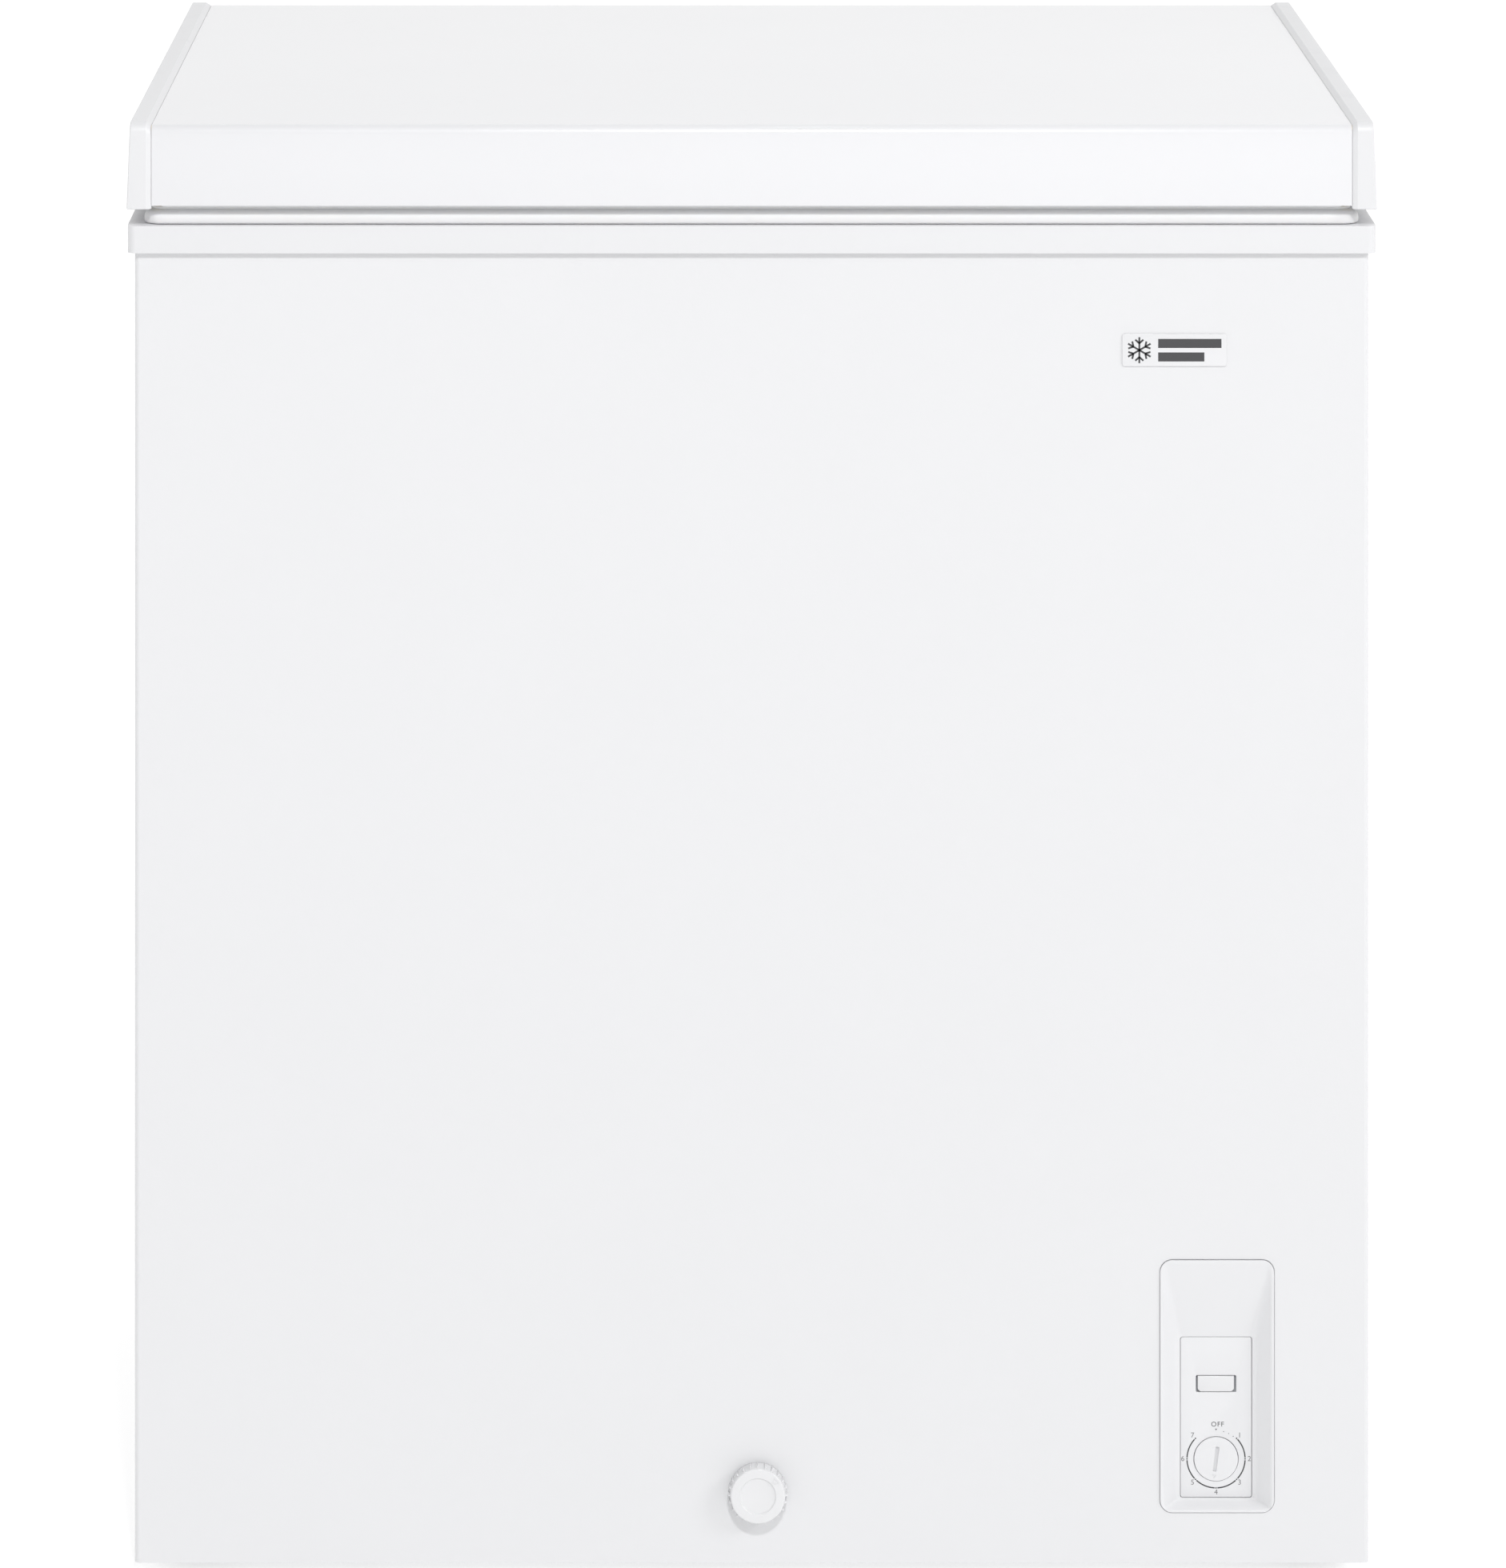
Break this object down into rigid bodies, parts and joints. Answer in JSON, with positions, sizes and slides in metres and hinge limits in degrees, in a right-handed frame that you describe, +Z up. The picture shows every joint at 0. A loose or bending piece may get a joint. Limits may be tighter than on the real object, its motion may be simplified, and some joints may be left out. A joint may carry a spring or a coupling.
{
  "type": "chest freezer",
  "caption": "White chest freezer: insulated cabinet on feet, counterbalanced hinged lid, thermostat dial with indicator lens, defrost drain with pull-out spout, and a sliding wire basket.",
  "frame": {"origin": "on the floor, below the middle of the overall footprint", "axes": "+X to the right seen from the front, +Y to the back, +Z up"},
  "size_m": [0.73, 0.546, 0.852],
  "materials": {
    "cabinet_white": "smooth white coat",
    "galvanised": "dull zinc",
    "white_plastic": "satin white",
    "liner_white": "embossed, coated",
    "foam": "rigid foam, matte",
    "dark_plastic": "matte",
    "grey_plastic": "matte",
    "rubber": "matte",
    "gasket_vinyl": "soft white vinyl",
    "compressor_black": "black enamel",
    "copper": "drawn tube",
    "zinc_steel": "zinc plated",
    "spring_steel": "dark drawn wire",
    "lens_grey": "frosted clear",
    "lamp_amber": "amber",
    "wire_white": "vinyl coated wire"
  },
  "bodies": {
    "cabinet": {"outer_wrap": "cabinet_white", "back_panel": "galvanised", "base_pan": "galvanised", "bay_lining": "galvanised", "feet": "rubber", "compressor_grommets": "rubber", "cabinet_foam": "foam", "inner_liner": "liner_white", "top_frame": "white_plastic", "control_bezel": "white_plastic", "control_plate": "white_plastic", "drain_funnel": "white_plastic", "drain_tube": "white_plastic", "drain_socket": "white_plastic", "evaporator_coil": "zinc_steel", "thermostat_body": "zinc_steel", "grille_screws": "zinc_steel", "hinge_bracket_left": "zinc_steel", "hinge_bracket_right": "zinc_steel", "hinge_pin_left": "zinc_steel", "hinge_pin_right": "zinc_steel", "bracket_screws": "zinc_steel", "compressor_bolts": "zinc_steel", "condenser_coil": "copper", "discharge_tube": "copper", "suction_tube": "copper", "process_tube": "copper", "filter_drier": "copper", "capillary_tube": "copper", "compressor_plate": "compressor_black", "compressor_shell": "compressor_black", "relay_cover": "dark_plastic", "rear_grille": "dark_plastic", "cord_gland": "dark_plastic", "nameplate": "grey_plastic", "indicator_lamp": "lamp_amber", "lamp_lens": "lens_grey", "hinge_spring_left": "spring_steel", "hinge_spring_right": "spring_steel"},
    "lid": {"lid_skin": "cabinet_white", "lid_end_cap_left": "white_plastic", "lid_end_cap_right": "white_plastic", "lid_foam": "foam", "lid_inner_panel": "white_plastic", "lid_gasket": "gasket_vinyl", "hinge_arm_left": "zinc_steel", "hinge_arm_right": "zinc_steel", "arm_screws": "zinc_steel"},
    "plunger_left": {"plunger_left": "dark_plastic"},
    "plunger_right": {"plunger_right": "dark_plastic"},
    "knob": {"thermostat_knob": "white_plastic", "thermostat_shaft": "zinc_steel"},
    "drain_spout": {"drain_spout": "white_plastic"},
    "drain_cap": {"drain_cap": "white_plastic"},
    "drain_plug": {"drain_plug": "grey_plastic"},
    "basket": {"basket_wire": "wire_white", "basket_grips": "grey_plastic"}
  },
  "joints": [
    {"name": "lid_hinge", "type": "hinge", "parent": "cabinet", "child": "lid", "pos_m": [0, 0.2665, 0.797], "axis": [-1, 0, 0], "range_deg": [0, 80], "stiffness_Nm_per_rad": 4.9, "springref_deg": 106},
    {"name": "plunger_left_slide", "type": "slide", "parent": "cabinet", "child": "plunger_left", "axis": [0, 0, 1], "range_m": [0, 0.0112], "deforming": ["hinge_spring_left"]},
    {"name": "plunger_right_slide", "type": "slide", "parent": "cabinet", "child": "plunger_right", "axis": [0, 0, 1], "range_m": [0, 0.0112], "deforming": ["hinge_spring_right"]},
    {"name": "thermostat_turn", "type": "hinge", "parent": "cabinet", "child": "knob", "pos_m": [0.272, -0.2555, 0.0671], "axis": [0, 1, 0], "range_deg": [-187, 128]},
    {"name": "drain_pull", "type": "slide", "parent": "cabinet", "child": "drain_spout", "axis": [0, -1, 0], "range_m": [0, 0.018]},
    {"name": "drain_cap_turn", "type": "hinge", "parent": "drain_spout", "child": "drain_cap", "pos_m": [0.0035, -0.273, 0.051], "axis": [0, -1, 0], "range_deg": [0, 180]},
    {"name": "drain_plug_lift", "type": "slide", "parent": "cabinet", "child": "drain_plug", "axis": [0, 0, 1], "range_m": [0, 0.03]},
    {"name": "basket_slide", "type": "slide", "parent": "cabinet", "child": "basket", "axis": [1, 0, 0], "range_m": [-0.329, 0]}
  ],
  "couplings": [
    {"joint": "plunger_left_slide", "follows": "lid_hinge", "m_per_rad": 0.008},
    {"joint": "plunger_right_slide", "follows": "lid_hinge", "m_per_rad": 0.008}
  ]
}
